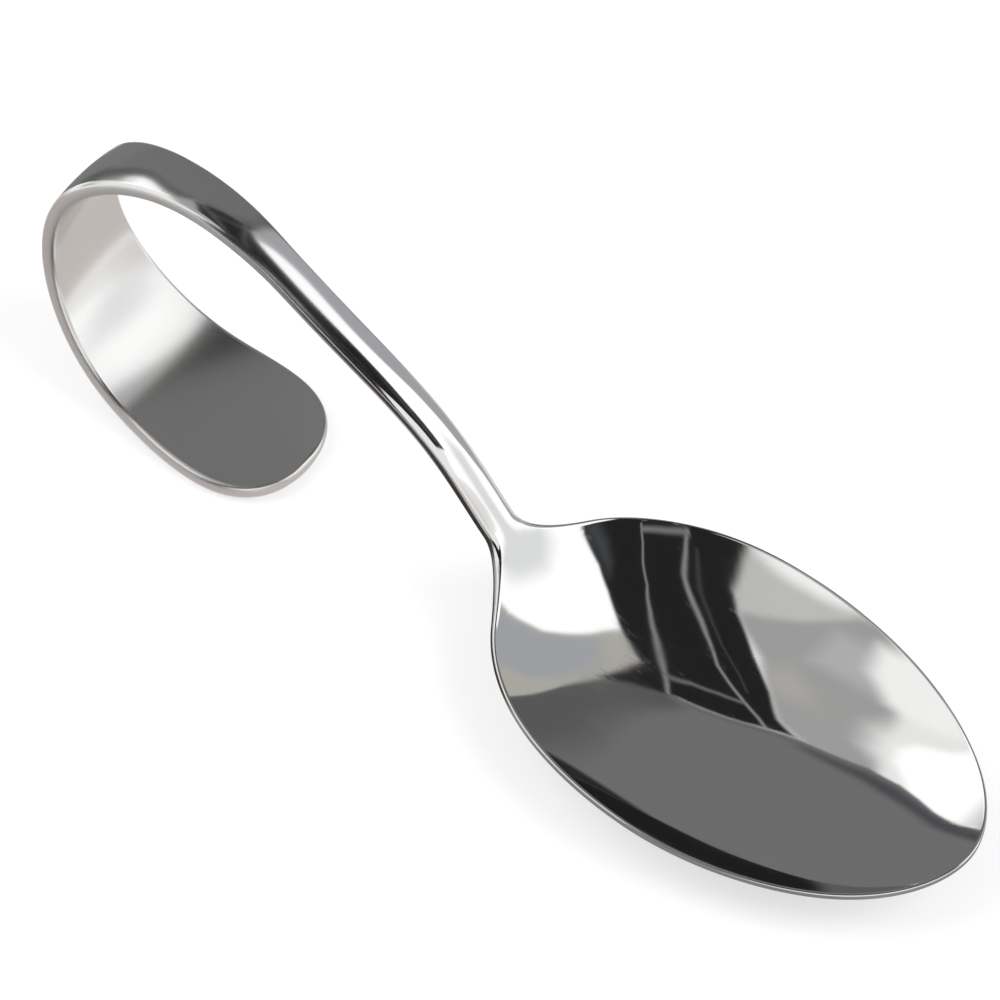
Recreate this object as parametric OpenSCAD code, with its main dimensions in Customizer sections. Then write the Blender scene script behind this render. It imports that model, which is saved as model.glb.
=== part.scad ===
// Baby feeding spoon, pressed from one strip of polished stainless steel.
// The bowl, the drawn neck and the handle, which is rolled over into a finger
// loop, are one piece of metal. The spoon stands on the underside of its bowl
// and on the flat end of its loop. Millimetres; X runs from the loop to the
// front of the bowl, Y across it and Z up from the table.

/* [Bowl] */
// Length of the rim from the front tip to the widest line
bowl_front_l = 31.8; // [25:0.1:38]
// Length of the rim from the widest line to where the neck starts
bowl_rear_l = 27.4; // [22:0.1:34]
// Width over the rim
bowl_w = 41.2; // [32:0.1:50]
// Depth of the hollow below the rim
bowl_depth = 6.2; // [4.5:0.1:9]
// Wall thickness of the bowl
bowl_t = 1.05; // [0.8:0.05:1.4]

/* [Neck and riser] */
// Length over which the rim fairs into the neck
neck_fair_l = 7; // [5:0.5:9]
// Width of the neck
neck_w = 4.8; // [3:0.05:6]
// Length of the narrow riser from the neck to the flare
riser_l = 40.5; // [34:0.1:48]
// Width of the riser where the flare starts
riser_w = 5; // [3:0.1:6.5]
// Height of the riser's side face
riser_t = 1.4; // [0.9:0.05:1.8]
// Rise of the riser's rounded face above its side faces
riser_crown = 0.35; // [0.2:0.05:0.9]

/* [Finger loop] */
// Length of the flared strip that is rolled into the loop
loop_l = 72.4; // [64:0.1:80]
// Thickness of the strip at its sides
loop_t = 1.85; // [1.2:0.05:2.4]
// Rise of the loop's rounded outer face above its sides
loop_crown = 0.4; // [0.2:0.05:1]
// Depth of the hollow across the loop's inner face
loop_hollow = 0.35; // [0:0.05:0.5]
// Width of the strip at its end
pad_w = 19.6; // [13:0.1:24]
// Length of the rounded end
pad_round_l = 10.3; // [7:0.1:14]
// Rise of the end's outer face above its sides
pad_crown = 0.35; // [0.2:0.05:0.9]

/* [Finish] */
// Width of the rounding along the bowl's rim
rim_r = 0.42; // [0.2:0.02:0.5]
// Width of the rounding along the edges of the riser and the loop
strip_r = 0.66; // [0.3:0.02:0.8]

/* [Hidden] */

// Bend of the strip, as the angle of its centre line above the rim line at
// shares of each stretch's length. Each stretch starts where the last one ends.
bowl_bend_shares = [
  [0, -8.7], [0.1, -4.2], [0.2, -0.6], [0.35, 0.3], [0.5, 2.2], [0.6, 3.1],
  [0.71, 2], [0.81, 2.3], [0.875, 6], [0.935, 13.7]
];
riser_bend_shares = [
  [0, 26.9], [0.07, 35.7], [0.14, 42.2], [0.21, 43.2], [0.28, 41.8], [0.375, 36.8],
  [0.49, 30], [0.61, 25.7], [0.73, 24], [0.865, 25]
];
loop_bend_shares = [
  [0, 25.4], [0.08, 19.4], [0.18, 2.5], [0.28, -19.2], [0.38, -45.2], [0.48, -78],
  [0.58, -106], [0.68, -127], [0.78, -145.8], [0.88, -165], [0.96, -175.4]
];
pad_bend_shares = [[0.3, -178.6], [1, -180.4]];

// How far the flare has opened, at shares of the loop's length
flare_shares = [
  [0, 0], [0.1, 0.05], [0.2, 0.105], [0.3, 0.195], [0.4, 0.325], [0.5, 0.44],
  [0.6, 0.555], [0.7, 0.69], [0.8, 0.81], [0.9, 0.915], [1, 1]
];
// How deep the hollow is, at shares of the bowl's length
depth_shares = [
  [0, 0], [0.06, 0.232], [0.14, 0.482], [0.25, 0.736], [0.4, 0.932], [0.5, 0.998],
  [0.6, 0.965], [0.7, 0.826], [0.8, 0.613], [0.88, 0.392], [0.95, 0.193],
  [1.02, 0.053], [1.1, 0]
];
// Share of the bowl's rear half at which the fairing into the neck starts
fair_start_share = 0.91;
// Shares of the bowl's length between which the hollow gives way to the crown
crown_start_share = 0.8;
crown_end_share = 1.05;
// Share of the loop's length that the strip takes to reach its full thickness
thick_share = 0.6;

// Roundness of the outlines: 2 is an ellipse and more is squarer
front_pow = 1.88;
rear_pow = 2.17;
pad_pow = 2.4;
// Share of the strip's thickness above the bowl's that is added on its outer face
outer_share = 0.3;
// Steepness of the hollow's walls: 2 is a parabola
wall_pow = 2.1;
// Squareness of the edges: 2 is a half round
edge_pow = 2.6;

// Steps along each stretch and across the strip
front_n = 18;
rear_n = 14;
fair_n = 8;
riser_n = 18;
loop_n = 42;
pad_n = 14;
across_n = 12;
edge_n = 6;
// Short steps with which the centre line is walked
walk_n = 600;
// Rounds in which the resting angle is found
rest_n = 4;

// Places along the strip, from the front tip
at_wide = bowl_front_l;
bowl_l = bowl_front_l + bowl_rear_l;
at_fair = at_wide + bowl_rear_l * fair_start_share;
at_neck = at_fair + neck_fair_l;
at_flare = bowl_l + riser_l;
at_pad = at_flare + loop_l;
strip_l = at_pad + pad_round_l;

// A smooth curve through the points of a table. The slopes at the points make
// the curvature continuous, and an end is level where its flag is true.
function sweep_down(a, b, c, d, i = 0, cs = [], ds = []) =
  i == len(b) ? [cs, ds]
  : let (
      below = i == 0 ? 0 : a[i] * cs[i - 1],
      carried = i == 0 ? 0 : a[i] * ds[i - 1],
      pivot = b[i] - below
    )
    sweep_down(a, b, c, d, i + 1, concat(cs, [c[i] / pivot]), concat(ds, [(d[i] - carried) / pivot]));

function sweep_up(cs, ds, i, found) =
  i < 0 ? found
  : sweep_up(cs, ds, i - 1, concat([ds[i] - (len(found) == 0 ? 0 : cs[i] * found[0])], found));

function slopes(t, level_start, level_end) =
  let (
    n = len(t) - 1,
    h = [for (i = [0 : n - 1]) t[i + 1][0] - t[i][0]],
    g = [for (i = [0 : n - 1]) (t[i + 1][1] - t[i][1]) / h[i]],
    a = [for (i = [0 : n]) i == 0 ? 0 : i == n ? (level_end ? 0 : 1 / h[n - 1]) : 1 / h[i - 1]],
    b = [
      for (i = [0 : n])
        i == 0 ? 2 / h[0] : i == n ? 2 / h[n - 1] : 2 / h[i - 1] + 2 / h[i]
    ],
    c = [for (i = [0 : n]) i == n ? 0 : i == 0 ? (level_start ? 0 : 1 / h[0]) : 1 / h[i]],
    d = [
      for (i = [0 : n])
        i == 0 ? (level_start ? 0 : 3 * g[0] / h[0])
        : i == n ? (level_end ? 0 : 3 * g[n - 1] / h[n - 1])
        : 3 * g[i - 1] / h[i - 1] + 3 * g[i] / h[i]
    ],
    down = sweep_down(a, b, c, d)
  )
  sweep_up(down[0], down[1], n, []);

function stretch(t, x, i = 0) = i >= len(t) - 2 || x < t[i + 1][0] ? i : stretch(t, x, i + 1);

function curve_at(t, k, x) =
  let (
    i = stretch(t, x),
    h = t[i + 1][0] - t[i][0],
    u = min(1, max(0, (x - t[i][0]) / h))
  )
  hermite(t[i][1], k[i] * h, t[i + 1][1], k[i + 1] * h, u);

function hermite(from, leave, to, arrive, u) =
  (1 + 2 * u) * pow(1 - u, 2) * from + u * pow(1 - u, 2) * leave
  + u * u * (3 - 2 * u) * to + u * u * (u - 1) * arrive;

function ease(x, start, end) = hermite(0, 0, 1, 0, min(1, max(0, (x - start) / (end - start))));

// Angle of the centre line at a place along the strip
bend = concat(
  [for (r = bowl_bend_shares) [r[0] * bowl_l, r[1]]],
  [for (r = riser_bend_shares) [bowl_l + r[0] * riser_l, r[1]]],
  [for (r = loop_bend_shares) [at_flare + r[0] * loop_l, r[1]]],
  [for (r = pad_bend_shares) [at_pad + r[0] * pad_round_l, r[1]]]
);
bend_slopes = slopes(bend, false, false);
function angle_at(s) = curve_at(bend, bend_slopes, s);

// The centre line in the side view, walked in short steps
walk = strip_l / walk_n;
walked = [
  for (
    i = 0, x = 0, z = 0, a = angle_at(walk / 2);
    i <= walk_n;
    x = x - walk * cos(a), z = z + walk * sin(a), i = i + 1, a = angle_at((i + 0.5) * walk)
  ) [x, z]
];
function line_at(s) =
  let (
    i = min(walk_n - 1, max(0, floor(s / walk))),
    u = s / walk - i
  )
  [
    walked[i][0] * (1 - u) + walked[i + 1][0] * u,
    walked[i][1] * (1 - u) + walked[i + 1][1] * u,
    angle_at(s)
  ];

// Half the width of the blank at a place along it
function round_end(u, power) = pow(max(0, 1 - pow(max(0, u), power)), 1 / power);
fair_w = bowl_w / 2 * round_end(fair_start_share, rear_pow);
fair_slope = -bowl_w / 2 / bowl_rear_l * pow(fair_start_share, rear_pow - 1)
  * pow(round_end(fair_start_share, rear_pow), 1 - rear_pow);
flare_slopes = slopes(flare_shares, true, true);
function half_w(s) =
  s < at_wide ? bowl_w / 2 * round_end((at_wide - s) / bowl_front_l, front_pow)
  : s < at_fair ? bowl_w / 2 * round_end((s - at_wide) / bowl_rear_l, rear_pow)
  : s < at_neck
    ? hermite(fair_w, fair_slope * neck_fair_l, neck_w / 2, 0, (s - at_fair) / neck_fair_l)
  : s < at_flare ? neck_w / 2 + (riser_w - neck_w) / 2 * ease(s, at_neck, at_flare)
  : s < at_pad
    ? riser_w / 2 + (pad_w - riser_w) / 2
      * curve_at(flare_shares, flare_slopes, (s - at_flare) / loop_l)
  : pad_w / 2 * round_end((s - at_pad) / pad_round_l, pad_pow);

// Depth of the hollow, height of the crown and thickness at a place
depth_slopes = slopes(depth_shares, false, true);
function depth_at(s) = bowl_depth * max(0, curve_at(depth_shares, depth_slopes, s / bowl_l));
function blend(s, at_bowl, at_riser, at_loop, at_end) =
  at_bowl
  + (at_riser - at_bowl) * ease(s, crown_start_share * bowl_l, crown_end_share * bowl_l)
  + (at_loop - at_riser) * ease(s, at_flare, at_flare + thick_share * loop_l)
  + (at_end - at_loop) * ease(s, at_flare + thick_share * loop_l, at_pad);
function crown_at(s) = blend(s, 0, riser_crown, loop_crown, pad_crown);
function thick_at(s) = blend(s, bowl_t, riser_t, loop_t, loop_t);
function hollow_at(s) = blend(s, 0, 0, loop_hollow, loop_hollow);
function edge_r_at(s) = blend(s, rim_r, strip_r, strip_r, strip_r);

// Heights of the face and of the underside at a point of the blank
function across_share(s, y) = half_w(s) > 0 ? min(1, abs(y) / half_w(s)) : 1;
function side_top(s, v) =
  outer_share * (thick_at(s) - bowl_t) - depth_at(s) * (1 - pow(v, wall_pow));
function under(s, v) = side_top(s, v) - thick_at(s) + hollow_at(s) * (1 - v * v);
function face(s, v) = side_top(s, v) + crown_at(s) * (1 - v * v);

// Places of the cross sections, close together where the outline turns fast
places = concat(
  [for (i = [0 : front_n - 1]) at_wide * (1 - cos(90 * i / front_n))],
  [for (i = [0 : rear_n - 1]) at_wide + (at_fair - at_wide) * sin(90 * i / rear_n)],
  [for (i = [0 : fair_n - 1]) at_fair + neck_fair_l * i / fair_n],
  [for (i = [0 : riser_n - 1]) at_neck + (at_flare - at_neck) * i / riser_n],
  [for (i = [0 : loop_n - 1]) at_flare + loop_l * i / loop_n],
  [for (i = [0 : pad_n]) at_pad + pad_round_l * sin(90 * i / pad_n)]
);
last = len(places) - 1;

// Direction square to the outline, out of the blank
function outline_normal(i) =
  i == 0 ? [-1, 0]
  : i == last ? [1, 0]
  : let (
      ahead = [places[i + 1], half_w(places[i + 1])],
      behind = [places[i - 1], half_w(places[i - 1])],
      run = (ahead - behind) / norm(ahead - behind)
    )
    [-run[1], run[0]];

// One point of the metal: place, distance across and share of the half
// thickness above or below the middle of the strip
function metal(s, y, lift) =
  let (
    v = across_share(s, y),
    middle = (face(s, v) + under(s, v)) / 2,
    h = middle + lift * (face(s, v) - middle),
    c = line_at(s)
  )
  [c[0] + h * sin(c[2]), y, c[1] + h * cos(c[2])];

// A closed ring of points round the strip at one place
function bulge(a, power) = sign(a) * pow(abs(a), 2 / power);
function ring(i) =
  let (
    s = places[i],
    w = half_w(s),
    n = outline_normal(i),
    edge_r = edge_r_at(s),
    s_in = s - edge_r * n[0],
    y_in = max(0, w - edge_r * n[1]),
    edge = [
      for (j = [1 : edge_n - 1])
        let (
          a = 90 - 180 * j / edge_n,
          inset = edge_r * (1 - bulge(cos(a), edge_pow))
        )
        [s - inset * n[0], max(0, w - inset * n[1]), bulge(sin(a), edge_pow)]
    ]
  )
  concat(
    [for (j = [0 : across_n]) metal(s_in, -y_in * cos(180 * j / across_n), 1)],
    [for (e = edge) metal(e[0], e[1], e[2])],
    [for (j = [0 : across_n]) metal(s_in, y_in * cos(180 * j / across_n), -1)],
    [for (j = [edge_n - 2 : -1 : 0]) metal(edge[j][0], -edge[j][1], edge[j][2])]
  );
rings = [for (i = [0 : last]) ring(i)];
ring_n = len(rings[0]);

// The tilt at which the bowl and the end of the loop touch the table together
bowl_sole = [for (i = [0 : last]) if (places[i] < bowl_l) metal(places[i], 0, -1)];
loop_sole = [for (i = [0 : last]) if (places[i] > at_flare) metal(places[i], 0, 1)];
function lowest(list, tilt) =
  let (
    heights = [for (p = list) p[2] * cos(tilt) + p[0] * sin(tilt)],
    low = min(heights)
  )
  list[search(low, heights)[0]];
function settle(tilt, round) =
  round == rest_n ? tilt
  : let (
      gap = lowest(bowl_sole, tilt) - lowest(loop_sole, tilt)
    )
    settle(-atan(gap[2] / gap[0]), round + 1);
tilt = settle(0, 0);

tilted = [
  for (r = rings)
    for (p = r) [p[0] * cos(tilt) - p[2] * sin(tilt), p[1], p[2] * cos(tilt) + p[0] * sin(tilt)]
];
xs = [for (p = tilted) p[0]];
zs = [for (p = tilted) p[2]];
middle_x = (min(xs) + max(xs)) / 2;
table_z = min(zs);
points = [for (p = tilted) [p[0] - middle_x, p[1], p[2] - table_z]];

// Two triangles between each pair of neighbours on two rings, split the same
// way on both sides of the spoon. At the tips the rings close to a line, and the
// triangles that would have no area are left out.
function differ(t) =
  norm(points[t[0]] - points[t[1]]) > 0
  && norm(points[t[1]] - points[t[2]]) > 0
  && norm(points[t[0]] - points[t[2]]) > 0;
faces = [
  for (i = [0 : last - 1])
    for (j = [0 : ring_n - 1])
      let (
        a = i * ring_n + j,
        b = i * ring_n + (j + 1) % ring_n,
        c = (i + 1) * ring_n + (j + 1) % ring_n,
        d = (i + 1) * ring_n + j,
        far_side = j >= across_n / 2 && j < (across_n + ring_n) / 2
      )
      for (t = far_side ? [[a, d, b], [b, d, c]] : [[a, c, b], [a, d, c]]) if (differ(t)) t
];

module spoon() {
  color("silver")
    polyhedron(points = points, faces = faces, convexity = 8);
}

spoon();
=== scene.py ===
from math import atan, atan2, cos, hypot, pi, radians, sin, tan

import bmesh
import bpy
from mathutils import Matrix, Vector


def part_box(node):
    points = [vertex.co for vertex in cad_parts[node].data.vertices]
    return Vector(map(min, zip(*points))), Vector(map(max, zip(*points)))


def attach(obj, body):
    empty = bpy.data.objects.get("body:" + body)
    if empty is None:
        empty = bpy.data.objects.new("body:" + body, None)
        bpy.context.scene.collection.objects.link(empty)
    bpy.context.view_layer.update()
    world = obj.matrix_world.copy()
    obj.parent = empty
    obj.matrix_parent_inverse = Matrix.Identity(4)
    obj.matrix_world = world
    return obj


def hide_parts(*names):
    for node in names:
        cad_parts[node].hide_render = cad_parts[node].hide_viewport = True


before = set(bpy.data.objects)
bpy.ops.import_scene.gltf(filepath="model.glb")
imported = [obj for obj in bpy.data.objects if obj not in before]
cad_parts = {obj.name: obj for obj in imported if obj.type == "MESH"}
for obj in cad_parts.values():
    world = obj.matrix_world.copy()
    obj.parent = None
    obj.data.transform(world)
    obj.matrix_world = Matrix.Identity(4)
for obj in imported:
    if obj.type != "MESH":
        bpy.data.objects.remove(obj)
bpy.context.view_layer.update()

scene = bpy.context.scene
scene.view_settings.view_transform = "Standard"


# The camera stands in front of the bowl's near side and looks down on the
# spoon through a long lens, so the perspective is nearly flat. The spoon lies
# across the picture with its loop at the top left.
camera_data = bpy.data.cameras.new("camera")
camera_data.sensor_width = 36
camera_data.lens = 158.72
camera_data.clip_start = 0.01
camera_data.clip_end = 50
camera = bpy.data.objects.new("camera", camera_data)
camera.location = (0.12270, -0.27262, 0.39316)
camera.rotation_euler = (radians(37.781), radians(-7.900), radians(34.620))
scene.collection.objects.link(camera)
scene.camera = camera


# The spoon is one strip of stainless steel. It is cut out flat, rolled thinner
# where the bowl will be, pressed in a die, bent over a former into the finger
# loop, ground along its edges and polished. The lengths are in millimetres.
MM_PER_M = 1000

BOWL_FRONT_L = 31.8
BOWL_REAR_L = 27.4
BOWL_W = 41.2
BOWL_DEPTH = 6.2
BOWL_T = 1.05
FAIR_SHARE = 0.91
NECK_FAIR_L = 7
NECK_W = 4.8
RISER_L = 40.5
RISER_W = 5
RISER_T = 1.4
RISER_CROWN = 0.35
LOOP_L = 72.4
LOOP_T = 1.85
LOOP_CROWN = 0.4
LOOP_HOLLOW = 0.35
PAD_W = 19.6
PAD_ROUND_L = 10.3
PAD_CROWN = 0.35
RIM_R = 0.42
STRIP_R = 0.66

# Powers of the rounded outlines, of the hollow's wall and of the edge's section
FRONT_POWER = 1.88
REAR_POWER = 2.17
PAD_POWER = 2.4
WALL_POWER = 2.1
EDGE_POWER = 2.6
# Share of the extra thickness that lies above the rim line
OUTER_SHARE = 0.3

# Places along the strip, from the bowl's tip on
AT_WIDE = BOWL_FRONT_L
BOWL_L = BOWL_FRONT_L + BOWL_REAR_L
AT_FAIR = AT_WIDE + BOWL_REAR_L * FAIR_SHARE
AT_NECK = AT_FAIR + NECK_FAIR_L
AT_THICKEN = 0.8 * BOWL_L
AT_THICK = 1.05 * BOWL_L
AT_FLARE = BOWL_L + RISER_L
AT_TURNED = AT_FLARE + 0.6 * LOOP_L
AT_PAD = AT_FLARE + LOOP_L
STRIP_L = AT_PAD + PAD_ROUND_L

# Angle of the strip's centre line above the rim line, in degrees. Each stretch
# has its own table, by share of its length.
BOWL_BEND = [(0, -8.7), (0.1, -4.2), (0.2, -0.6), (0.35, 0.3), (0.5, 2.2), (0.6, 3.1), (0.71, 2),
             (0.81, 2.3), (0.875, 6), (0.935, 13.7)]
RISER_BEND = [(0, 26.9), (0.07, 35.7), (0.14, 42.2), (0.21, 43.2), (0.28, 41.8), (0.375, 36.8),
              (0.49, 30), (0.61, 25.7), (0.73, 24), (0.865, 25)]
LOOP_BEND = [(0, 25.4), (0.08, 19.4), (0.18, 2.5), (0.28, -19.2), (0.38, -45.2), (0.48, -78),
             (0.58, -106), (0.68, -127), (0.78, -145.8), (0.88, -165), (0.96, -175.4)]
PAD_BEND = [(0.3, -178.6), (1, -180.4)]
# How far the loop has widened, and how far the bowl has been pressed down
FLARE = [(0, 0), (0.1, 0.05), (0.2, 0.105), (0.3, 0.195), (0.4, 0.325), (0.5, 0.44), (0.6, 0.555),
         (0.7, 0.69), (0.8, 0.81), (0.9, 0.915), (1, 1)]
HOLLOW = [(0, 0), (0.06, 0.232), (0.14, 0.482), (0.25, 0.736), (0.4, 0.932), (0.5, 0.998),
          (0.6, 0.965), (0.7, 0.826), (0.8, 0.613), (0.88, 0.392), (0.95, 0.193), (1.02, 0.053),
          (1.1, 0)]


def hermite(start, leave, end, arrive, u):
    """A smooth step between two values with the given slopes at its ends."""
    return ((1 + 2 * u) * (1 - u) ** 2 * start + u * (1 - u) ** 2 * leave
            + u * u * (3 - 2 * u) * end + u * u * (u - 1) * arrive)


def smooth_curve(table, level_start, level_end):
    """A curve of continuous curvature through a table's points."""
    xs = [p[0] for p in table]
    ys = [p[1] for p in table]
    last = len(table) - 1
    gap = [xs[i + 1] - xs[i] for i in range(last)]
    rise = [(ys[i + 1] - ys[i]) / gap[i] for i in range(last)]
    carry, found = [], []
    for i in range(last + 1):
        before = 0 if i == 0 or (i == last and level_end) else 1 / gap[i - 1]
        after = 0 if i == last or (i == 0 and level_start) else 1 / gap[i]
        if i == 0:
            middle, value = 2 / gap[0], 0 if level_start else 3 * rise[0] / gap[0]
        elif i == last:
            middle, value = 2 / gap[-1], 0 if level_end else 3 * rise[-1] / gap[-1]
        else:
            middle = 2 / gap[i - 1] + 2 / gap[i]
            value = 3 * rise[i - 1] / gap[i - 1] + 3 * rise[i] / gap[i]
        pivot = middle - (before * carry[-1] if i else 0)
        carry.append(after / pivot)
        found.append((value - (before * found[-1] if i else 0)) / pivot)
    for i in range(last - 1, -1, -1):
        found[i] -= carry[i] * found[i + 1]

    def at(x):
        i = 0
        while i < last - 1 and x >= xs[i + 1]:
            i += 1
        u = min(1, max(0, (x - xs[i]) / gap[i]))
        return hermite(ys[i], found[i] * gap[i], ys[i + 1], found[i + 1] * gap[i], u)

    return at


def ease(x, start, end):
    """From 0 to 1 between two places, level at both."""
    return hermite(0, 0, 1, 0, min(1, max(0, (x - start) / (end - start))))


bend_at = smooth_curve(
    [(a * BOWL_L, b) for a, b in BOWL_BEND]
    + [(BOWL_L + a * RISER_L, b) for a, b in RISER_BEND]
    + [(AT_FLARE + a * LOOP_L, b) for a, b in LOOP_BEND]
    + [(AT_PAD + a * PAD_ROUND_L, b) for a, b in PAD_BEND], False, False)
flare_at = smooth_curve(FLARE, True, True)
hollow_at = smooth_curve(HOLLOW, False, True)

# The centre line in the side view, walked in short steps from the bowl's tip
WALK_N = 1200
STEP = STRIP_L / WALK_N
walked = [(0.0, 0.0)]
for i in range(WALK_N):
    slope = radians(bend_at((i + 0.5) * STEP))
    walked.append((walked[-1][0] - STEP * cos(slope), walked[-1][1] + STEP * sin(slope)))


def centre_line(s):
    """Place and slope of the strip's middle at a distance from the tip."""
    i = min(WALK_N - 1, max(0, int(s / STEP)))
    u = s / STEP - i
    return (walked[i][0] * (1 - u) + walked[i + 1][0] * u,
            walked[i][1] * (1 - u) + walked[i + 1][1] * u, radians(bend_at(s)))


def round_end(u, power):
    """Half width of a rounded end, from 1 where it starts to 0 at its tip."""
    return max(0, 1 - max(0, u) ** power) ** (1 / power)


# Half width and slope of the rim where it turns out of its oval to the neck
FAIR_HALF_W = BOWL_W / 2 * round_end(FAIR_SHARE, REAR_POWER)
FAIR_SLOPE = (-BOWL_W / 2 / BOWL_REAR_L * FAIR_SHARE ** (REAR_POWER - 1)
              * round_end(FAIR_SHARE, REAR_POWER) ** (1 - REAR_POWER))


def half_width(s):
    """Half the width of the flat blank at a distance from the tip."""
    if s < AT_WIDE:
        return BOWL_W / 2 * round_end((AT_WIDE - s) / BOWL_FRONT_L, FRONT_POWER)
    if s < AT_FAIR:
        return BOWL_W / 2 * round_end((s - AT_WIDE) / BOWL_REAR_L, REAR_POWER)
    if s < AT_NECK:
        return hermite(FAIR_HALF_W, FAIR_SLOPE * NECK_FAIR_L, NECK_W / 2, 0,
                       (s - AT_FAIR) / NECK_FAIR_L)
    if s < AT_FLARE:
        return NECK_W / 2 + (RISER_W - NECK_W) / 2 * ease(s, AT_NECK, AT_FLARE)
    if s < AT_PAD:
        return RISER_W / 2 + (PAD_W - RISER_W) / 2 * flare_at((s - AT_FLARE) / LOOP_L)
    return PAD_W / 2 * round_end((s - AT_PAD) / PAD_ROUND_L, PAD_POWER)


def along_strip(s, bowl, riser, loop, end):
    """A value that changes from the bowl to the riser, the loop and its end."""
    return (bowl + (riser - bowl) * ease(s, AT_THICKEN, AT_THICK)
            + (loop - riser) * ease(s, AT_FLARE, AT_TURNED)
            + (end - loop) * ease(s, AT_TURNED, AT_PAD))


def in_steel(s, y, lift):
    """A point of the pressed and bent strip: 1 is its face, -1 its underside."""
    w = half_width(s)
    v = min(1, abs(y) / w) if w > 0 else 1
    thick = along_strip(s, BOWL_T, RISER_T, LOOP_T, LOOP_T)
    side = (OUTER_SHARE * (thick - BOWL_T)
            - BOWL_DEPTH * max(0, hollow_at(s / BOWL_L)) * (1 - v ** WALL_POWER))
    face = side + along_strip(s, 0, RISER_CROWN, LOOP_CROWN, PAD_CROWN) * (1 - v * v)
    under = side - thick + along_strip(s, 0, 0, LOOP_HOLLOW, LOOP_HOLLOW) * (1 - v * v)
    h = (face + under) / 2 + lift * (face - under) / 2
    x, z, slope = centre_line(s)
    return Vector((x + h * sin(slope), y, z + h * cos(slope)))


# The cross sections, close together where the outline turns fast, and the points
# across a face and round an edge
FRONT_N, REAR_N, FAIR_N, RISER_N, LOOP_N, PAD_N = 64, 44, 20, 44, 120, 40
sections = (
    [AT_WIDE * (1 - cos(pi / 2 * i / FRONT_N)) for i in range(FRONT_N)]
    + [AT_WIDE + (AT_FAIR - AT_WIDE) * sin(pi / 2 * i / REAR_N) for i in range(REAR_N)]
    + [AT_FAIR + NECK_FAIR_L * i / FAIR_N for i in range(FAIR_N)]
    + [AT_NECK + (AT_FLARE - AT_NECK) * i / RISER_N for i in range(RISER_N)]
    + [AT_FLARE + LOOP_L * i / LOOP_N for i in range(LOOP_N)]
    + [AT_PAD + PAD_ROUND_L * sin(pi / 2 * i / PAD_N) for i in range(PAD_N + 1)])
SECTION_N = len(sections)
ACROSS_N, EDGE_N = 48, 10
RING_N = 2 * (ACROSS_N + EDGE_N)


def out_of_blank(i):
    """Direction square to the blank's outline at a cross section."""
    if i == 0:
        return (-1.0, 0.0)
    if i == SECTION_N - 1:
        return (1.0, 0.0)
    ahead, behind = sections[i + 1], sections[i - 1]
    run = Vector((ahead - behind, half_width(ahead) - half_width(behind))).normalized()
    return (-run[1], run[0])


def bulge(a):
    """The sine or cosine of a turn round the edge, made full by its power."""
    return (1 if a >= 0 else -1) * abs(a) ** (2 / EDGE_POWER)


def pressed(i, j):
    """Place, distance across and lift of point j of the ring round section i."""
    s = sections[i]
    w = half_width(s)
    out_s, out_y = out_of_blank(i)
    if j <= ACROSS_N:
        turn, across = pi / 2, -cos(pi * j / ACROSS_N)
    elif j < ACROSS_N + EDGE_N:
        turn, across = pi / 2 - pi * (j - ACROSS_N) / EDGE_N, 1
    elif j <= 2 * ACROSS_N + EDGE_N:
        turn, across = -pi / 2, cos(pi * (j - ACROSS_N - EDGE_N) / ACROSS_N)
    else:
        turn, across = -pi / 2 + pi * (j - 2 * ACROSS_N - EDGE_N) / EDGE_N, -1
    edge_r = along_strip(s, RIM_R, STRIP_R, STRIP_R, STRIP_R)
    inset = edge_r * (1 - bulge(abs(cos(turn)) if abs(across) == 1 else 0))
    return s - inset * out_s, across * max(0, w - inset * out_y), bulge(sin(turn))


# How far the loop's edges are rougher than the rim, and how satin the faces are
GRIND_EASE_L = 8
LOOP_GRIND = 2.5
SATIN_FROM = BOWL_L + 0.5 * RISER_L
UNDER_SATIN = 0.3
LOOP_UNDER_SATIN = 0.4
LOOP_SATIN_L = 0.3 * LOOP_L

# A tube with one ring of points for each cross section is drawn out into the
# strip. Its two ends close to a line round the tips, where the doubles merge.
MERGE_DIST = 0.00002
blank = bmesh.new()
bmesh.ops.create_cone(blank, cap_ends=False, segments=RING_N, radius1=1, radius2=1, depth=1)
bmesh.ops.subdivide_edges(
    blank, edges=[e for e in blank.edges if abs(e.verts[0].co.z - e.verts[1].co.z) > 0.5],
    cuts=SECTION_N - 2, use_grid_fill=True)
place_layer = blank.verts.layers.float.new("place")
edge_layer = blank.verts.layers.float.new("ground_edge")
satin_layer = blank.verts.layers.float.new("satin")
around_layer = blank.verts.layers.float.new("around")
turn_0 = min(atan2(v.co.y, v.co.x) % (2 * pi) for v in blank.verts)
for v in blank.verts:
    i = round((v.co.z + 0.5) * (SECTION_N - 1))
    j = round((atan2(v.co.y, v.co.x) % (2 * pi) - turn_0) / (2 * pi) * RING_N) % RING_N
    s, y, lift = pressed(i, j)
    v.co = in_steel(s, y, lift)
    v[place_layer] = s / MM_PER_M
    v[around_layer] = y / MM_PER_M
    # The loop's edges are left as the grinding belt leaves them
    v[edge_layer] = (1 - abs(lift)) * (
        1 + LOOP_GRIND * ease(s, AT_FLARE - GRIND_EASE_L, AT_FLARE + GRIND_EASE_L))
    v[satin_layer] = ease(s, SATIN_FROM, AT_FLARE) + (1 - lift) / 2 * (
        UNDER_SATIN + LOOP_UNDER_SATIN * ease(s, AT_FLARE, AT_FLARE + LOOP_SATIN_L))
bmesh.ops.remove_doubles(blank, verts=blank.verts, dist=MERGE_DIST)
bmesh.ops.recalc_face_normals(blank, faces=blank.faces)


def sole(lift, places, tilt):
    """The point of the underside or the face that comes lowest at a tilt."""
    return min([in_steel(s, 0, lift) for s in places],
               key=lambda p: p.z * cos(tilt) + p.x * sin(tilt))


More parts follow.
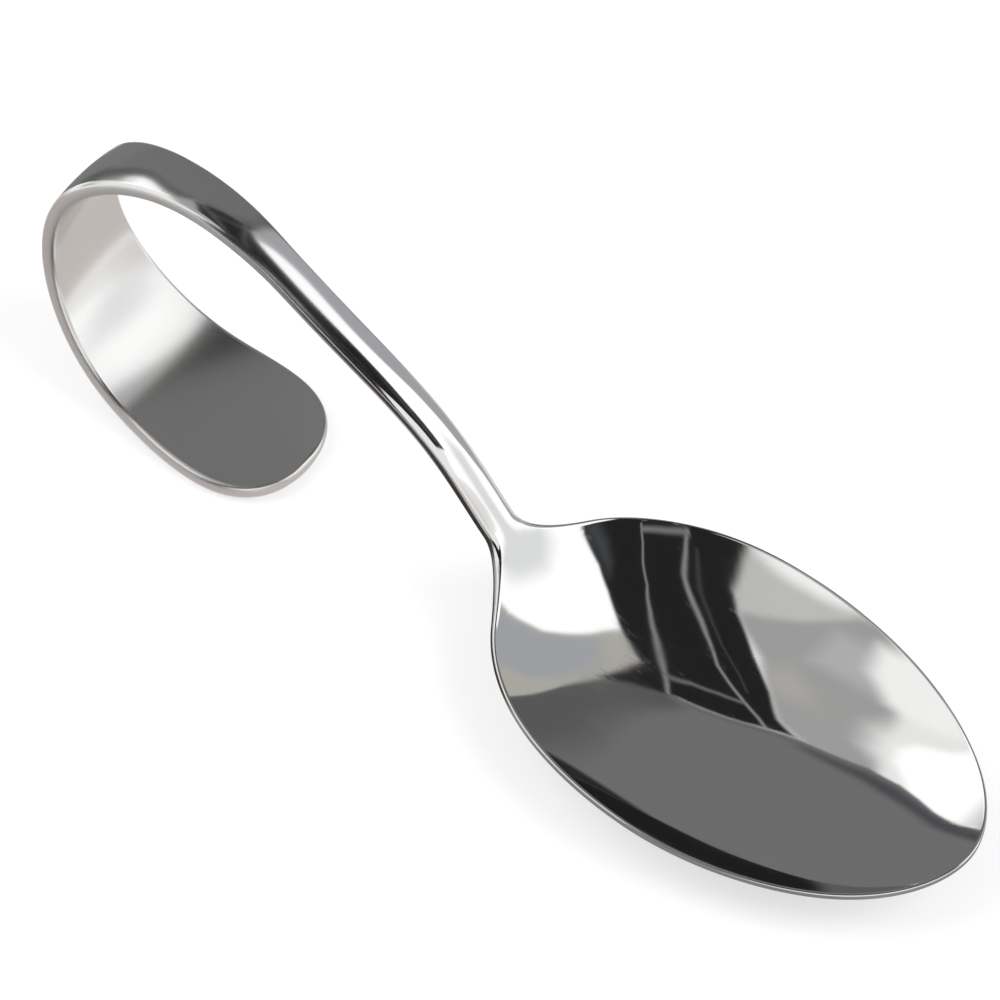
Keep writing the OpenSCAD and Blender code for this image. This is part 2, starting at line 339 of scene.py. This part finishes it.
# The spoon settles until its bowl and the end of its loop touch the table, and
# takes the place of the solid spoon
SETTLE_N = 6
tilt = 0.0
for _ in range(SETTLE_N):
    bowl_sole = sole(-1, [s for s in sections if s < BOWL_L], tilt)
    loop_sole = sole(1, [s for s in sections if s > AT_FLARE], tilt)
    tilt = -atan((bowl_sole.z - loop_sole.z) / (bowl_sole.x - loop_sole.x))
for v in blank.verts:
    x, y, z = v.co
    v.co = (x * cos(tilt) - z * sin(tilt), y, z * cos(tilt) + x * sin(tilt))
low = [min(v.co[k] for v in blank.verts) for k in range(3)]
high = [max(v.co[k] for v in blank.verts) for k in range(3)]
table_low, table_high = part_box("spoon")
for v in blank.verts:
    v.co = [table_low[k] + (v.co[k] - low[k]) / (high[k] - low[k]) * (table_high[k] - table_low[k])
            for k in range(3)]

# The strip's own map runs along it and across it, in metres
strip_map = blank.loops.layers.uv.new("strip")
for f in blank.faces:
    f.smooth = True
    for loop in f.loops:
        loop[strip_map].uv = (loop.vert[place_layer], loop.vert[around_layer])
spoon_mesh = bpy.data.meshes.new("polished_spoon")
blank.to_mesh(spoon_mesh)
blank.free()
polished_spoon = bpy.data.objects.new("polished_spoon", spoon_mesh)
scene.collection.objects.link(polished_spoon)


def linked(nodes, links, kind, **inputs):
    """A node with its inputs set by value or joined to another node's socket.
    An input goes by its name or by its place, i0 for the first."""
    node = nodes.new(kind)
    for name, value in inputs.items():
        socket = node.inputs[int(name[1:]) if name[0] == "i" and name[1:].isdigit()
                             else name.replace("_", " ")]
        if isinstance(value, bpy.types.NodeSocket):
            links.new(value, socket)
        else:
            socket.default_value = value
    return node


def maths(nodes, links, operation, a, b=0.0, c=0.0):
    """The outcome of a sum with values or other nodes' sockets."""
    node = linked(nodes, links, "ShaderNodeMath", i0=a, i1=b, i2=c)
    node.operation = operation
    return node.outputs[0]


# Roughness of the mirror polish, and what each mark adds to it
POLISHED_ROUGH = 0.025
SATIN_ROUGH = 0.09
GROUND_ROUGH = 0.16
SMUDGE_ROUGH = 0.03
SCRATCH_ROUGH = 0.06
# Depths of the marks in metres
WAVE_DEPTH = 0.000004
GRAIN_DEPTH = 0.0000003
SCRATCH_DEPTH = 0.000002
SCRATCH_BUMP = 0.08
# A scratch is this much longer than wide, and shows on part of the steel only
SCRATCH_STRETCH = 22
SCRATCH_SHARE = 0.56

steel = bpy.data.materials.new("polished_steel")
steel.use_nodes = True
N, L = steel.node_tree.nodes, steel.node_tree.links
N.clear()
where = N.new("ShaderNodeTexCoord")
strip = N.new("ShaderNodeUVMap")
strip.uv_map = "strip"
satin = N.new("ShaderNodeAttribute")
satin.attribute_name = "satin"
ground = N.new("ShaderNodeAttribute")
ground.attribute_name = "ground_edge"

# Slow waves left by the press, the fine lines of the polishing wheel, and the
# smudges of fingers
waves = linked(N, L, "ShaderNodeTexNoise", Vector=where.outputs["Object"], Scale=85.0, Detail=1.0)
grain_map = linked(N, L, "ShaderNodeMapping", Vector=strip.outputs["UV"], Scale=(300, 9000, 1))
grain = linked(N, L, "ShaderNodeTexNoise", Vector=grain_map.outputs[0], Scale=1.0, Detail=3.0)
smudge = linked(N, L, "ShaderNodeTexNoise", Vector=where.outputs["Object"], Scale=160.0,
                Detail=4.0, Roughness=0.6)

# Hair scratches from wiping, in three directions
scratch = None
for angle, scale, line in ((0.5, 70, 0.0016), (-0.7, 55, 0.0013), (1.25, 90, 0.0018)):
    turned = linked(N, L, "ShaderNodeMapping", Vector=where.outputs["Object"],
                    Rotation=(0, 0, angle), Scale=(scale, scale * SCRATCH_STRETCH, scale))
    hair = linked(N, L, "ShaderNodeTexNoise", Vector=turned.outputs[0], Scale=1.0, Detail=2.0,
                  Distortion=0.2)
    thin = maths(N, L, "LESS_THAN",
                 maths(N, L, "ABSOLUTE", maths(N, L, "SUBTRACT", hair.outputs[0], 0.5)), line)
    patch = linked(N, L, "ShaderNodeTexNoise", Vector=where.outputs["Object"],
                   Scale=60.0 + scale, Detail=2.0)
    thin = maths(N, L, "MULTIPLY", thin,
                 maths(N, L, "GREATER_THAN", patch.outputs[0], SCRATCH_SHARE))
    scratch = thin if scratch is None else maths(N, L, "MAXIMUM", scratch, thin)

rough = maths(N, L, "MULTIPLY_ADD", satin.outputs["Fac"], SATIN_ROUGH, POLISHED_ROUGH)
for mark, added in ((ground.outputs["Fac"], GROUND_ROUGH), (smudge.outputs[0], SMUDGE_ROUGH),
                    (scratch, SCRATCH_ROUGH)):
    rough = maths(N, L, "ADD", rough, maths(N, L, "MULTIPLY", mark, added))

# Steel is a little darker where it is smudged
tint = N.new("ShaderNodeMix")
tint.data_type = "RGBA"
L.new(smudge.outputs[0], tint.inputs[0])
tint.inputs[6].default_value = (0.795, 0.79, 0.785, 1)
tint.inputs[7].default_value = (0.765, 0.765, 0.76, 1)

wave_bump = linked(N, L, "ShaderNodeBump", Strength=1.0, Distance=WAVE_DEPTH,
                   Height=waves.outputs[0])
drawn_grain = maths(N, L, "MULTIPLY", grain.outputs[0], satin.outputs["Fac"])
grain_bump = linked(N, L, "ShaderNodeBump", Strength=1.0, Distance=GRAIN_DEPTH,
                    Height=drawn_grain, Normal=wave_bump.outputs[0])
scratch_bump = linked(N, L, "ShaderNodeBump", Strength=SCRATCH_BUMP, Distance=SCRATCH_DEPTH,
                      Height=scratch, Normal=grain_bump.outputs[0])
shine = linked(N, L, "ShaderNodeBsdfPrincipled", Base_Color=tint.outputs[2], Metallic=1.0,
               Roughness=rough, Normal=scratch_bump.outputs[0])
linked(N, L, "ShaderNodeOutputMaterial", Surface=shine.outputs[0])
spoon_mesh.materials.append(steel)

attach(polished_spoon, "root")
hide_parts("spoon")


# The table is a wide pale sheet that the spoon stands on. The camera and the
# steel see it a little lifted towards white, and it keeps the spoon's shadow.
TABLE_HALF_W = 30
TABLE_LIFT = 0.6

sheet = bmesh.new()
bmesh.ops.create_grid(sheet, x_segments=1, y_segments=1, size=TABLE_HALF_W)
table_mesh = bpy.data.meshes.new("table")
sheet.to_mesh(table_mesh)
sheet.free()
table = bpy.data.objects.new("table", table_mesh)
scene.collection.objects.link(table)


def in_sight(nodes, links):
    """1 for what the camera sees, also in the steel, and 0 for the light it gives."""
    sight = nodes.new("ShaderNodeLightPath")
    return maths(nodes, links, "MAXIMUM", sight.outputs["Is Camera Ray"],
                 maths(nodes, links, "MAXIMUM", sight.outputs["Is Glossy Ray"],
                       sight.outputs["Is Transmission Ray"]))


paper = bpy.data.materials.new("pale_table")
paper.use_nodes = True
N, L = paper.node_tree.nodes, paper.node_tree.links
N.clear()
matt = linked(N, L, "ShaderNodeBsdfDiffuse", Color=(0.9, 0.9, 0.9, 1))
lift = linked(N, L, "ShaderNodeEmission", Color=(1, 1, 1, 1), Strength=1.0)
blend = linked(N, L, "ShaderNodeMixShader",
               i0=maths(N, L, "MULTIPLY", in_sight(N, L), TABLE_LIFT),
               i1=matt.outputs[0], i2=lift.outputs[0])
linked(N, L, "ShaderNodeOutputMaterial", Surface=blend.outputs[0])
table_mesh.materials.append(paper)


# The studio round the spoon, of glowing cloth that shows only in the steel: a
# grey sweep behind it, a dark ceiling with thin gaps over it, and pale walls
# with soft boxes at its sides. What is hung later covers what was hung before.
STUDIO_R = 12.0
SHEET_STEP = 1.0
# Each sheet is nearer to the spoon than the one before by this much, in metres
DOME_GAP = 0.05
TABLE_GAP = 0.00002
# The top of the loop in millimetres, and the least angle that it looks down by
LOOP_TOP_X = -55
LOOP_TOP_Z = 30
LEAST_DROP = 0.15
# Halfway between the first and the second mirroring of a ray
SECOND_LOOK = 1.5
hung = []


def on_dome(east, north):
    """A place over the spoon by its angle from straight up, in degrees towards
    the bowl's tip and towards the far side."""
    lean, way = radians(hypot(east, north)), atan2(north, east)
    radius = STUDIO_R - DOME_GAP * len(hung)
    return radius * Vector((sin(lean) * cos(way), sin(lean) * sin(way), cos(lean)))


def flat_on_table(east, north):
    """A place on the table in millimetres."""
    return Vector((east / MM_PER_M, north / MM_PER_M, TABLE_GAP * len(hung)))


def seen_on_table(east, north):
    """The place on the table that the top of the loop sees in a direction."""
    drop, way = max(LEAST_DROP, hypot(east, north) - 90), atan2(north, east)
    away = LOOP_TOP_Z / tan(radians(drop))
    return flat_on_table(LOOP_TOP_X + away * cos(way), away * sin(way))


def inside_by(corners, east, north):
    """Distance from a place in to a sheet's outline, below zero outside it."""
    nearest, inside = 1e9, False
    for i, (e1, n1) in enumerate(corners):
        e0, n0 = corners[i - 1]
        run_e, run_n = e1 - e0, n1 - n0
        u = ((east - e0) * run_e + (north - n0) * run_n) / (run_e ** 2 + run_n ** 2)
        u = min(1, max(0, u))
        nearest = min(nearest, hypot(east - e0 - u * run_e, north - n0 - u * run_n))
        if (n0 > north) != (n1 > north) and east < e0 + (north - n0) / run_n * run_e:
            inside = not inside
    return nearest if inside else -nearest


def finish_sheet(name, sheet, shade, painted_second_look=False):
    """Cloth that glows, and thins out to nothing where its cover does."""
    mesh = bpy.data.meshes.new(name)
    sheet.to_mesh(mesh)
    sheet.free()
    cloth = bpy.data.materials.new(name)
    cloth.use_nodes = True
    nodes, links = cloth.node_tree.nodes, cloth.node_tree.links
    nodes.clear()
    cover = nodes.new("ShaderNodeAttribute")
    cover.attribute_name = "cover"
    amount = cover.outputs["Fac"]
    # Painted reflection: such a sheet shows only from the second mirroring of a ray on
    if painted_second_look:
        path = nodes.new("ShaderNodeLightPath")
        twice = maths(nodes, links, "GREATER_THAN", path.outputs["Glossy Depth"], SECOND_LOOK)
        amount = maths(nodes, links, "MULTIPLY", amount, twice)
    glow = linked(nodes, links, "ShaderNodeEmission", Color=(*shade, 1), Strength=1.0)
    clear = nodes.new("ShaderNodeBsdfTransparent")
    mix = linked(nodes, links, "ShaderNodeMixShader", i0=amount, i1=clear.outputs[0],
                 i2=glow.outputs[0])
    linked(nodes, links, "ShaderNodeOutputMaterial", Surface=mix.outputs[0])
    mesh.materials.append(cloth)
    obj = bpy.data.objects.new(name, mesh)
    scene.collection.objects.link(obj)
    obj.visible_camera = False
    obj.visible_diffuse = False
    obj.visible_shadow = False
    obj.visible_transmission = False
    hung.append(obj)


def hang(name, shade, feather, corners, place=on_dome, step=SHEET_STEP, painted_second_look=False):
    """A sheet with the given corners and a soft edge. One with painted_second_look is a painted
    reflection, which shows only where the steel mirrors itself."""
    low_e = min(e for e, n in corners) - feather
    low_n = min(n for e, n in corners) - feather
    wide = max(e for e, n in corners) + feather - low_e
    tall = max(n for e, n in corners) + feather - low_n
    sheet = bmesh.new()
    bmesh.ops.create_grid(sheet, x_segments=int(wide / step) + 1,
                          y_segments=int(tall / step) + 1, size=0.5)
    cover = sheet.verts.layers.float.new("cover")
    for v in sheet.verts:
        east, north = low_e + (v.co.x + 0.5) * wide, low_n + (v.co.y + 0.5) * tall
        part = min(1, max(0, 0.5 + inside_by(corners, east, north) / feather))
        v[cover] = part * part * (3 - 2 * part)
        v.co = place(east, north)
    bmesh.ops.delete(sheet, geom=[f for f in sheet.faces if max(v[cover] for v in f.verts) == 0],
                     context="FACES")
    finish_sheet(name, sheet, shade, painted_second_look)


def leave_gap(name, shade, width, places):
    """A thin gap that light comes through, from place to place."""
    ribbon = bmesh.new()
    last = len(places) - 1
    bmesh.ops.create_grid(ribbon, x_segments=last, y_segments=2, size=0.5)
    cover = ribbon.verts.layers.float.new("cover")
    for v in ribbon.verts:
        i, side = round((v.co.x + 0.5) * last), round(2 * v.co.y)
        run_e = places[min(last, i + 1)][0] - places[max(0, i - 1)][0]
        run_n = places[min(last, i + 1)][1] - places[max(0, i - 1)][1]
        out = side * width / hypot(run_e, run_n)
        v[cover] = 0.0 if side else 1.0
        v.co = on_dome(places[i][0] - out * run_n, places[i][1] + out * run_e)
    finish_sheet(name, ribbon, shade)


# Pale walls in front of the spoon, behind its loop and on the left
hang("front_wall", (0.39, 0.37, 0.36), 14,
     [(-80, -66), (-30, -72), (30, -72), (80, -66), (86, -96), (30, -106), (-30, -106), (-86, -96)])
hang("back_wall", (0.39, 0.38, 0.37), 12,
     [(-70, -40), (-78, -22), (-78, -6), (-84, 4), (-100, 4), (-104, -20), (-96, -46)])
hang("left_wall", (0.42, 0.42, 0.42), 4,
     [(-30, 20), (-20, 22), (-15, 19), (-9, 10), (-3, 2), (5, -3), (6, -24), (-2, -30), (-20, -30),
      (-28, -20), (-30, 0)])
hang("left_wall_low", (0.63, 0.63, 0.62), 2.5,
     [(6, -4), (-4, -13), (-17, -23), (-8, -30), (6, -30)])
hang("left_wall_far", (0.53, 0.53, 0.54), 6,
     [(-13, -6), (-24, -6), (-24, -18), (-15, -18)])
hang("left_wall_warm", (0.5, 0.48, 0.46), 8,
     [(-6, 4), (-11, -1), (-17, 3), (-18, 8), (-13, 10), (-9, 9)])
hang("left_wall_white", (1.1, 1.1, 1.1), 4,
     [(4, -20), (-5, -23), (-20, -25), (-20, -40), (4, -40)])

# The soft boxes on the left, with their dim far ends
hang("soft_box_left_glow", (1, 1, 1), 8,
     [(-62, 31), (-48, 27.5), (-42, 23), (-38, 18), (-31, 16), (-26.5, 11), (-26.5, 4), (-30, -2),
      (-38, -3), (-44, -3), (-52, -3), (-60, 0), (-75, 10), (-80, 25)])
hang("soft_box_left", (1.3, 1.3, 1.3), 3.5,
     [(-62, 34), (-48, 31), (-38, 24), (-34.5, 16), (-31.5, 11), (-31.5, 6), (-34.5, 2), (-38, 0.8),
      (-44, -0.6), (-50, -3), (-56, 0), (-66, 10), (-75, 25), (-80, 38)])
hang("soft_box_low", (1.1, 1.1, 1.1), 5,
     [(-46, -6), (-33, -5), (-27, -6), (-23, -12), (-23, -20), (-32, -22), (-42, -14)])
hang("box_dim", (0.8, 0.8, 0.8), 10,
     [(-56, 30), (-60, 20), (-66, 8), (-74, -2), (-104, -4), (-104, 40), (-80, 38), (-64, 33)])
hang("box_fade", (0.44, 0.43, 0.42), 8,
     [(-62, 33), (-66, 24), (-80, 22), (-100, 26), (-106, 44), (-84, 38)])

# The grey sweep behind the spoon, with painted shade along its fold and on its side
hang("grey_sweep", (0.19, 0.19, 0.19), 1,
     [(-108, 50), (-92, 41), (-80, 35), (-70, 31.5), (-62, 31), (-55, 30.5), (-50, 28.5), (-45, 26),
      (-40, 22.3), (-35, 19.5), (-28, 18.3), (-20, 21), (-10, 26), (6, 33), (9.8, 37), (10.3, 45),
      (10.3, 55), (10, 62), (9.5, 72), (8, 92), (-9, 92), (-35, 88), (-60, 72), (-80, 60)],
     step=0.5)
# A darker strip of painted shade along the fold of the sweep
hang("sweep_fold_painted_shade", (0.083, 0.087, 0.095), 4,
     [(-92, 51), (-76, 42), (-60, 38), (-47, 33.6), (-38, 28), (-28, 24), (-20, 24), (-20, 22.5),
      (-28, 20), (-35, 21.2), (-40, 24), (-46, 27.5), (-60, 32), (-76, 37.5), (-92, 46)])
# Painted shade on the side of the sweep
hang("sweep_side_painted_shade", (0.12, 0.12, 0.12), 4,
     [(11, 33), (11, 45), (11, 55), (10.5, 62), (10, 72), (9, 92), (-9, 92), (-4, 83), (-1, 75),
      (1.5, 67), (4, 60), (6, 50), (6, 42), (3, 34)])

# The walls and the soft box on the right
hang("right_wall", (0.5, 0.49, 0.45), 0.8,
     [(10.2, 28), (10.2, 45), (10.2, 55), (10, 62), (9.5, 72), (8, 92), (25, 92), (60, 68),
      (70, 62), (60, 55), (45, 50), (30, 46), (14, 28)], step=0.5)
hang("right_wall_cool", (0.43, 0.44, 0.47), 5,
     [(16.5, 35), (12.5, 38), (11.5, 44), (12, 54), (15, 62), (22, 66), (34, 66), (47, 66),
      (50, 62), (44, 56), (36, 52), (28, 48), (21, 40)])
hang("far_right_wall", (0.8, 0.77, 0.74), 9,
     [(58, -30), (62, 10), (62, 26), (66, 38), (76, 44), (92, 36), (92, -30)])
hang("soft_box_right", (1.3, 1.3, 1.3), 2,
     [(14.5, 29), (18, 35), (22.5, 41), (27, 46), (35, 50), (42, 53), (48, 60), (51, 68), (66, 60),
      (66, 40), (60, 26), (57, 12), (50, 18), (44, 19), (31, 19), (20, 22)])
hang("box_shade", (0.89, 0.91, 0.91), 9,
     [(43, 36), (47, 47), (58, 48), (66, 40), (62, 31), (50, 31)])

# The dark ceiling down to the corner of the sweep, with a patch of painted light, and a dark
# skirting
hang("sweep_corner", (0.02, 0.02, 0.02), 0.7,
     [(5, 32), (10.2, 31), (10.2, 38), (10.3, 44.5), (9.5, 41.7), (9, 38.6), (8, 35.9),
      (6.3, 33.7)], step=0.35)
hang("black_top", (0.019, 0.019, 0.019), 1,
     [(-19, 21.2), (-10, 26), (6, 33), (9.6, 34.5), (10, 31.8), (12, 29.6), (16.2, 26.7),
      (23.6, 23.2), (31, 21.2), (42, 21.6), (48, 21.5), (46, 12), (38, 4), (32, -5), (28, -20),
      (24, -50), (18, -88), (-12, -89), (-8, -50), (-2, -30), (3.8, -21), (4.8, -16), (5.8, -8),
      (4.7, -4), (2, -1.1), (-1.6, 2.9), (-4.5, 5.7), (-10, 11), (-15, 18.5)], step=0.5)
# A paler patch of painted light on the dark ceiling
hang("ceiling_painted_light", (0.065, 0.069, 0.078), 5,
     [(26, 20), (32, 19.5), (46, 20.5), (44, 16), (34, 15), (28, 17)])
hang("skirting", (0.027, 0.027, 0.027), 1,
     [(-32, 82), (-18, 85), (-5, 84.5), (-3, 92), (-30, 92)])

# Cloths and cards laid on the table; two of the cards are painted shadow of the spoon
hang("table_cloth", (0.66, 0.61, 0.59), 70,
     [(-140, -60), (-90, -110), (60, -120), (140, -70), (150, 40), (90, 110), (-60, 110),
      (-140, 70)], flat_on_table, 6)
hang("front_cloth", (0.46, 0.42, 0.4), 6,
     [(-160, -11), (0, -11), (0, -50), (60, -80), (60, -170), (-160, -170)], flat_on_table, 3)
hang("tip_card", (0.31, 0.28, 0.27), 14,
     [(58, -30), (58, 26), (90, 20), (96, 0), (90, -26)], flat_on_table, 3)
# Painted shadow on the table at the bowl's near side
hang("bowl_painted_shadow", (0.25, 0.25, 0.25), 10,
     [(-2, -4), (10, -32), (36, -44), (62, -30), (60, -6), (30, -14)], flat_on_table, 3)
hang("riser_foot", (0.08, 0.078, 0.075), 6,
     [(-47, -22), (-30, -16), (-10, -18), (-2, -30), (-2, -60), (40, -120), (60, -220), (-70, -220),
      (-50, -60)], flat_on_table, 3)
# Painted shadow of the riser on the table
hang("riser_painted_shadow", (0.044, 0.041, 0.039), 5,
     [(4, 2), (-14, 0), (-19, -14), (-30, -20), (-44, -30), (-58, -40), (-66, -52), (-58, -60),
      (-40, -48), (-20, -36), (0, -26), (8, -14)], flat_on_table, 3)

# What lies further off on the table, as the top of the loop sees it
hang("light_foot", (1.1, 1.1, 1.1), 6,
     [(-60, 95), (-75, 95), (-100, 110), (-60, 140), (0, 150), (40, 120), (20, 95), (-40, 92)],
     seen_on_table)
hang("grey_foot", (0.21, 0.21, 0.21), 4,
     [(-122, 66), (-104, 44), (-96, 40), (-88, 36), (-80, 32), (-76, 42), (-60, 62), (-40, 79),
      (-45, 88), (-75, 85), (-95, 92)], seen_on_table)
# The fold's painted shade, where the top of the loop sees it on the table
hang("foot_fold_painted_shade", (0.1, 0.11, 0.11), 3,
     [(-100, 52), (-90, 49), (-80, 47), (-76, 42), (-84, 38), (-94, 43)], seen_on_table)

# Painted reflection: the sweep and the ceiling as the bowl shows them in its own reflection, on
# sheets that show nowhere else
hang("second_grey_painted_reflection", (0.16, 0.16, 0.16), 1.5,
     [(-60, 16), (-60, 48), (-18, 48), (-18, 16)], painted_second_look=True)
hang("second_dark_painted_reflection", (0.019, 0.019, 0.019), 4,
     [(-21, 16), (-25, 26), (-29, 31), (-31, 36), (-33, 46), (-6, 46), (-4, 50), (14, 50),
      (14, 16)], painted_second_look=True)

# Thin gaps between the boards of the ceiling, and round its frame and its sill
leave_gap("line_1", (0.31, 0.31, 0.31), 0.6,
          [(26.5, 2.5), (23, 4.8), (20, 8.3), (15.8, 11.6), (13.1, 16.5), (10.9, 22), (9.1, 27.9),
           (6.5, 33.7)])
leave_gap("line_2", (0.33, 0.33, 0.33), 0.75,
          [(13.3, -9.2), (12, -4.4), (11.2, 0.5), (9.7, 3.9), (7.6, 8.6), (3.6, 14.2), (-0.9, 16.6),
           (-6.9, 19.4), (-11.5, 21.5), (-15, 24)])
leave_gap("line_3", (0.061, 0.061, 0.061), 0.6,
          [(10.5, -8), (9.9, -5.3), (9.1, 0.1), (7.5, 4.1), (5, 7.5), (-1.6, 11.9), (-5.7, 15.7)])
leave_gap("crossbar", (0.18, 0.18, 0.18), 0.9,
          [(8.3, 29.6), (5.2, 25.7), (-0.2, 22.4), (-6.9, 19.4)])
leave_gap("sill", (0.16, 0.16, 0.16), 0.9,
          [(-19, 23), (-10, 27), (6, 33.7)])
leave_gap("frame", (0.24, 0.24, 0.24), 1,
          [(12.5, -9.2), (18, -3.8), (25.5, 3.3)])


# Two soft lamps, one on each side, give the even light on the table. They are
# square cloths on stands that face the spoon, and the steel doesn't show them.
LAMP_W = 1.0
LAMP_POWER = 14

for name, place in (("lamp_left", (-0.9, -0.5, 1.1)), ("lamp_right", (0.9, 0.4, 1.2))):
    lamp_data = bpy.data.lights.new(name, "AREA")
    lamp_data.size = LAMP_W
    lamp_data.energy = LAMP_POWER
    lamp = bpy.data.objects.new(name, lamp_data)
    lamp.location = place
    lamp.rotation_euler = (-Vector(place)).to_track_quat("-Z", "Y").to_euler()
    lamp.visible_glossy = False
    scene.collection.objects.link(lamp)


# The room is white as the camera and the steel see it, and gives the rest of
# the light.
ROOM_LIGHT = 0.65

room = bpy.data.worlds.new("room")
scene.world = room
room.use_nodes = True
N, L = room.node_tree.nodes, room.node_tree.links
N.clear()
strength = maths(N, L, "MULTIPLY_ADD", in_sight(N, L), 1 - ROOM_LIGHT, ROOM_LIGHT)
white = linked(N, L, "ShaderNodeBackground", Color=(1, 1, 1, 1), Strength=strength)
linked(N, L, "ShaderNodeOutputWorld", Surface=white.outputs[0])
